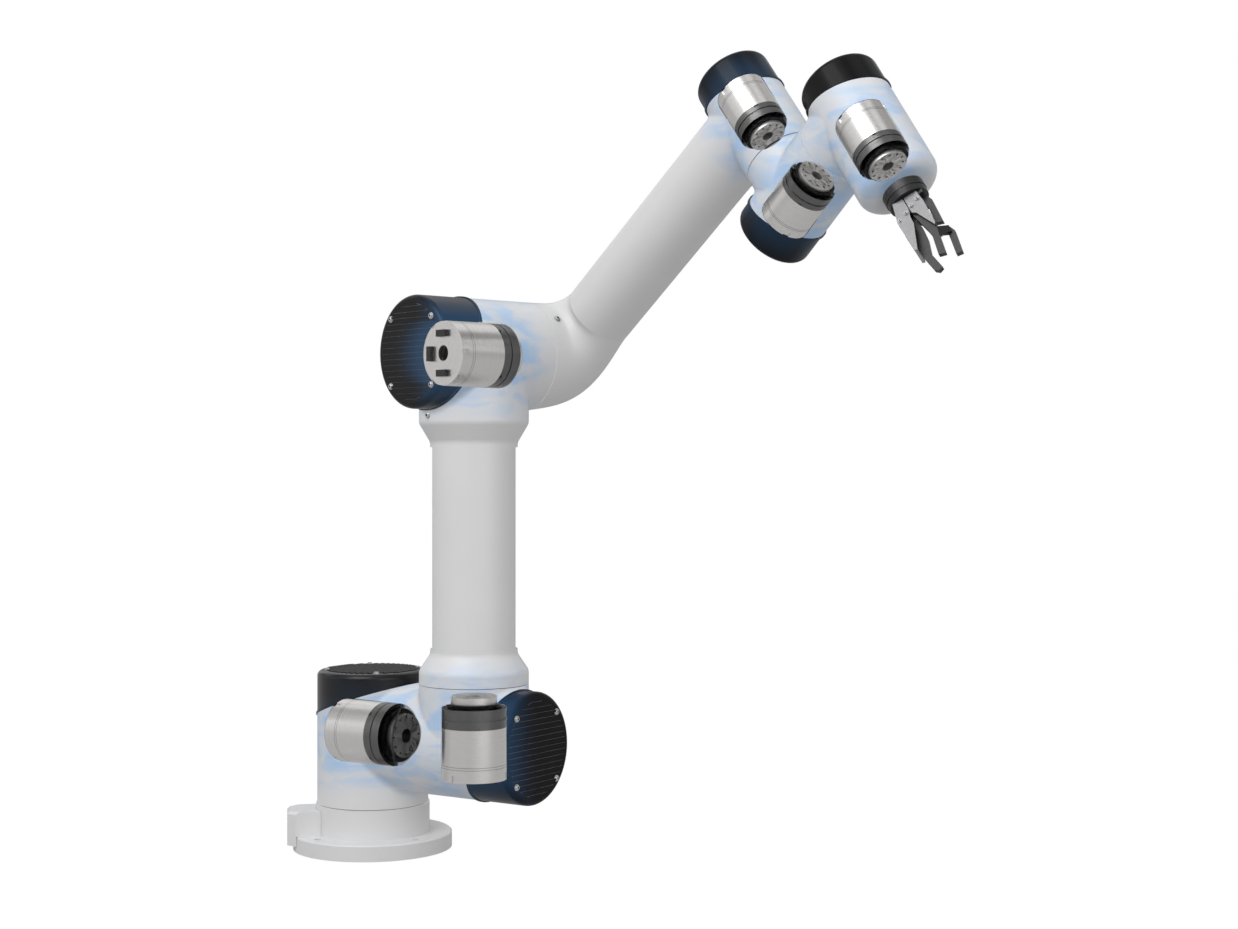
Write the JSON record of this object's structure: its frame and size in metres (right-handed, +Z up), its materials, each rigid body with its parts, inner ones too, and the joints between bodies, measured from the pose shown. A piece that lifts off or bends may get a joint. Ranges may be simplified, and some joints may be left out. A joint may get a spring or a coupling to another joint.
{
  "type": "robot arm joint module assembly",
  "caption": "Jointed robot arm of tee-shaped casings around hollow geared drive modules, with ribbed caps, bolt-down foot and a small fork-and-thumb gripper.",
  "frame": {"origin": "centre of the foot's underside, on the base yaw axis", "axes": "+Z up along the base yaw axis; +X to the right and +Y away as the picture shows the arm"},
  "size_m": [0.6714, 0.5059, 0.8296],
  "materials": {
    "casing": "satin white paint",
    "cap": "gloss black",
    "motor_steel": "turned steel",
    "dark_gear": "dark phosphated steel",
    "output_steel": "ground steel",
    "rotor_steel": "magnets on a steel shaft",
    "tool_metal": "dark anodised",
    "palm_black": "black anodised",
    "cheek_steel": "satin sheet",
    "pin_steel": "polished pins",
    "finger_black": "black anodised"
  },
  "bodies": {
    "base": {"base_pedestal": "casing", "base_cable_box": "casing", "yaw_drive_rear_cover": "motor_steel", "yaw_drive_motor_shell": "motor_steel", "yaw_drive_gear_ring": "dark_gear"},
    "column": {"column_casing": "casing", "column_cap": "cap", "yaw_drive_output": "output_steel", "shoulder_drive_rear_cover": "motor_steel", "shoulder_drive_motor_shell": "motor_steel", "shoulder_drive_gear_ring": "dark_gear"},
    "shoulder": {"shoulder_casing": "casing", "shoulder_cap": "cap", "shoulder_drive_output": "output_steel", "roll_drive_rear_cover": "motor_steel", "roll_drive_motor_shell": "motor_steel", "roll_drive_gear_ring": "dark_gear"},
    "upper_arm": {"upper_arm_collar": "casing", "upper_arm_tube": "casing", "elbow_casing": "casing", "elbow_cap": "cap", "roll_drive_output": "output_steel", "elbow_drive_rear_cover": "motor_steel", "elbow_drive_motor_shell": "motor_steel", "elbow_drive_gear_ring": "dark_gear"},
    "forearm": {"forearm_elbow": "casing", "forearm_tube": "casing", "wrist_1_casing": "casing", "wrist_1_cap": "cap", "elbow_drive_output": "output_steel", "wrist_1_drive_rear_cover": "motor_steel", "wrist_1_drive_motor_shell": "motor_steel", "wrist_1_drive_gear_ring": "dark_gear"},
    "wrist_2": {"wrist_2_casing": "casing", "wrist_2_cap": "cap", "wrist_1_drive_output": "output_steel", "wrist_2_drive_rear_cover": "motor_steel", "wrist_2_drive_motor_shell": "motor_steel", "wrist_2_drive_gear_ring": "dark_gear"},
    "wrist_3": {"wrist_3_casing": "casing", "wrist_3_cap": "cap", "wrist_2_drive_output": "output_steel", "wrist_3_drive_rear_cover": "motor_steel", "wrist_3_drive_motor_shell": "motor_steel", "wrist_3_drive_gear_ring": "dark_gear"},
    "tool": {"tool_flange": "tool_metal", "gripper_palm": "palm_black", "gripper_cheeks": "cheek_steel", "gripper_pins": "pin_steel", "wrist_3_drive_output": "output_steel"},
    "fork": {"fork_finger": "finger_black"},
    "thumb": {"thumb_finger": "finger_black"},
    "link": {"fork_link": "finger_black"},
    "yaw_rotor": {"yaw_drive_rotor": "rotor_steel"},
    "shoulder_rotor": {"shoulder_drive_rotor": "rotor_steel"},
    "roll_rotor": {"roll_drive_rotor": "rotor_steel"},
    "elbow_rotor": {"elbow_drive_rotor": "rotor_steel"},
    "wrist_1_rotor": {"wrist_1_drive_rotor": "rotor_steel"},
    "wrist_2_rotor": {"wrist_2_drive_rotor": "rotor_steel"},
    "wrist_3_rotor": {"wrist_3_drive_rotor": "rotor_steel"}
  },
  "joints": [
    {"name": "base_yaw", "type": "hinge", "parent": "base", "child": "column", "pos_m": [0, 0, 0], "axis": [0, 0, 1], "range_deg": [-175, 175]},
    {"name": "yaw_rotor_spin", "type": "hinge", "parent": "base", "child": "yaw_rotor", "pos_m": [0, 0, 0], "axis": [0, 0, 1], "range_deg": [-17510, 17510]},
    {"name": "shoulder_pitch", "type": "hinge", "parent": "column", "child": "shoulder", "pos_m": [0, 0, 0.125], "axis": [-0.8339, 0.5519, 0], "range_deg": [-120, 120]},
    {"name": "shoulder_rotor_spin", "type": "hinge", "parent": "column", "child": "shoulder_rotor", "pos_m": [0, 0, 0.125], "axis": [-0.8339, 0.5519, 0], "range_deg": [-12010, 12010]},
    {"name": "upper_arm_roll", "type": "hinge", "parent": "shoulder", "child": "upper_arm", "pos_m": [0.11699, -0.07744, 0.125], "axis": [0, 0, 1], "range_deg": [-175, 175]},
    {"name": "roll_rotor_spin", "type": "hinge", "parent": "shoulder", "child": "roll_rotor", "pos_m": [0.11699, -0.07744, 0.125], "axis": [0, 0, 1], "range_deg": [-17510, 17510]},
    {"name": "elbow_pitch", "type": "hinge", "parent": "upper_arm", "child": "forearm", "pos_m": [0.11699, -0.07744, 0.536], "axis": [0.7396, 0.673, 0], "range_deg": [-185, 80]},
    {"name": "elbow_rotor_spin", "type": "hinge", "parent": "upper_arm", "child": "elbow_rotor", "pos_m": [0.11699, -0.07744, 0.536], "axis": [0.7396, 0.673, 0], "range_deg": [-8010, 18510]},
    {"name": "wrist_1_turn", "type": "hinge", "parent": "forearm", "child": "wrist_2", "pos_m": [0.40722, -0.21066, 0.76149], "axis": [0.4097, -0.4503, -0.7934], "range_deg": [-175, 175]},
    {"name": "wrist_1_rotor_spin", "type": "hinge", "parent": "forearm", "child": "wrist_1_rotor", "pos_m": [0.40722, -0.21066, 0.76149], "axis": [0.4097, -0.4503, -0.7934], "range_deg": [-17510, 17510]},
    {"name": "wrist_2_turn", "type": "hinge", "parent": "wrist_2", "child": "wrist_3", "pos_m": [0.4488, -0.25636, 0.68096], "axis": [0.4468, -0.6592, 0.6048], "range_deg": [-120, 120]},
    {"name": "wrist_2_rotor_spin", "type": "hinge", "parent": "wrist_2", "child": "wrist_2_rotor", "pos_m": [0.4488, -0.25636, 0.68096], "axis": [0.4468, -0.6592, 0.6048], "range_deg": [-12010, 12010]},
    {"name": "wrist_3_turn", "type": "hinge", "parent": "wrist_3", "child": "tool", "pos_m": [0.49393, -0.32294, 0.74205], "axis": [0.3604, -0.4862, -0.7961], "range_deg": [-175, 175]},
    {"name": "wrist_3_rotor_spin", "type": "hinge", "parent": "wrist_3", "child": "wrist_3_rotor", "pos_m": [0.49393, -0.32294, 0.74205], "axis": [0.3604, -0.4862, -0.7961], "range_deg": [-17510, 17510]},
    {"name": "fork_swing", "type": "hinge", "parent": "tool", "child": "fork", "pos_m": [0.53708, -0.38134, 0.64626], "axis": [-0.3999, -0.8516, 0.3391], "range_deg": [-4, 12]},
    {"name": "thumb_swing", "type": "hinge", "parent": "tool", "child": "thumb", "pos_m": [0.53233, -0.3818, 0.6395], "axis": [-0.3999, -0.8516, 0.3391], "range_deg": [-12, 4]},
    {"name": "link_swing", "type": "hinge", "parent": "tool", "child": "link", "pos_m": [0.54215, -0.38103, 0.65302], "axis": [-0.3999, -0.8516, 0.3391], "range_deg": [-4, 12]}
  ],
  "couplings": [
    {"joint": "yaw_rotor_spin", "follows": "base_yaw", "ratio": -100},
    {"joint": "shoulder_rotor_spin", "follows": "shoulder_pitch", "ratio": -100},
    {"joint": "roll_rotor_spin", "follows": "upper_arm_roll", "ratio": -100},
    {"joint": "elbow_rotor_spin", "follows": "elbow_pitch", "ratio": -100},
    {"joint": "wrist_1_rotor_spin", "follows": "wrist_1_turn", "ratio": -100},
    {"joint": "wrist_2_rotor_spin", "follows": "wrist_2_turn", "ratio": -100},
    {"joint": "wrist_3_rotor_spin", "follows": "wrist_3_turn", "ratio": -100},
    {"joint": "thumb_swing", "follows": "fork_swing", "ratio": -1},
    {"joint": "link_swing", "follows": "fork_swing", "ratio": 1}
  ]
}
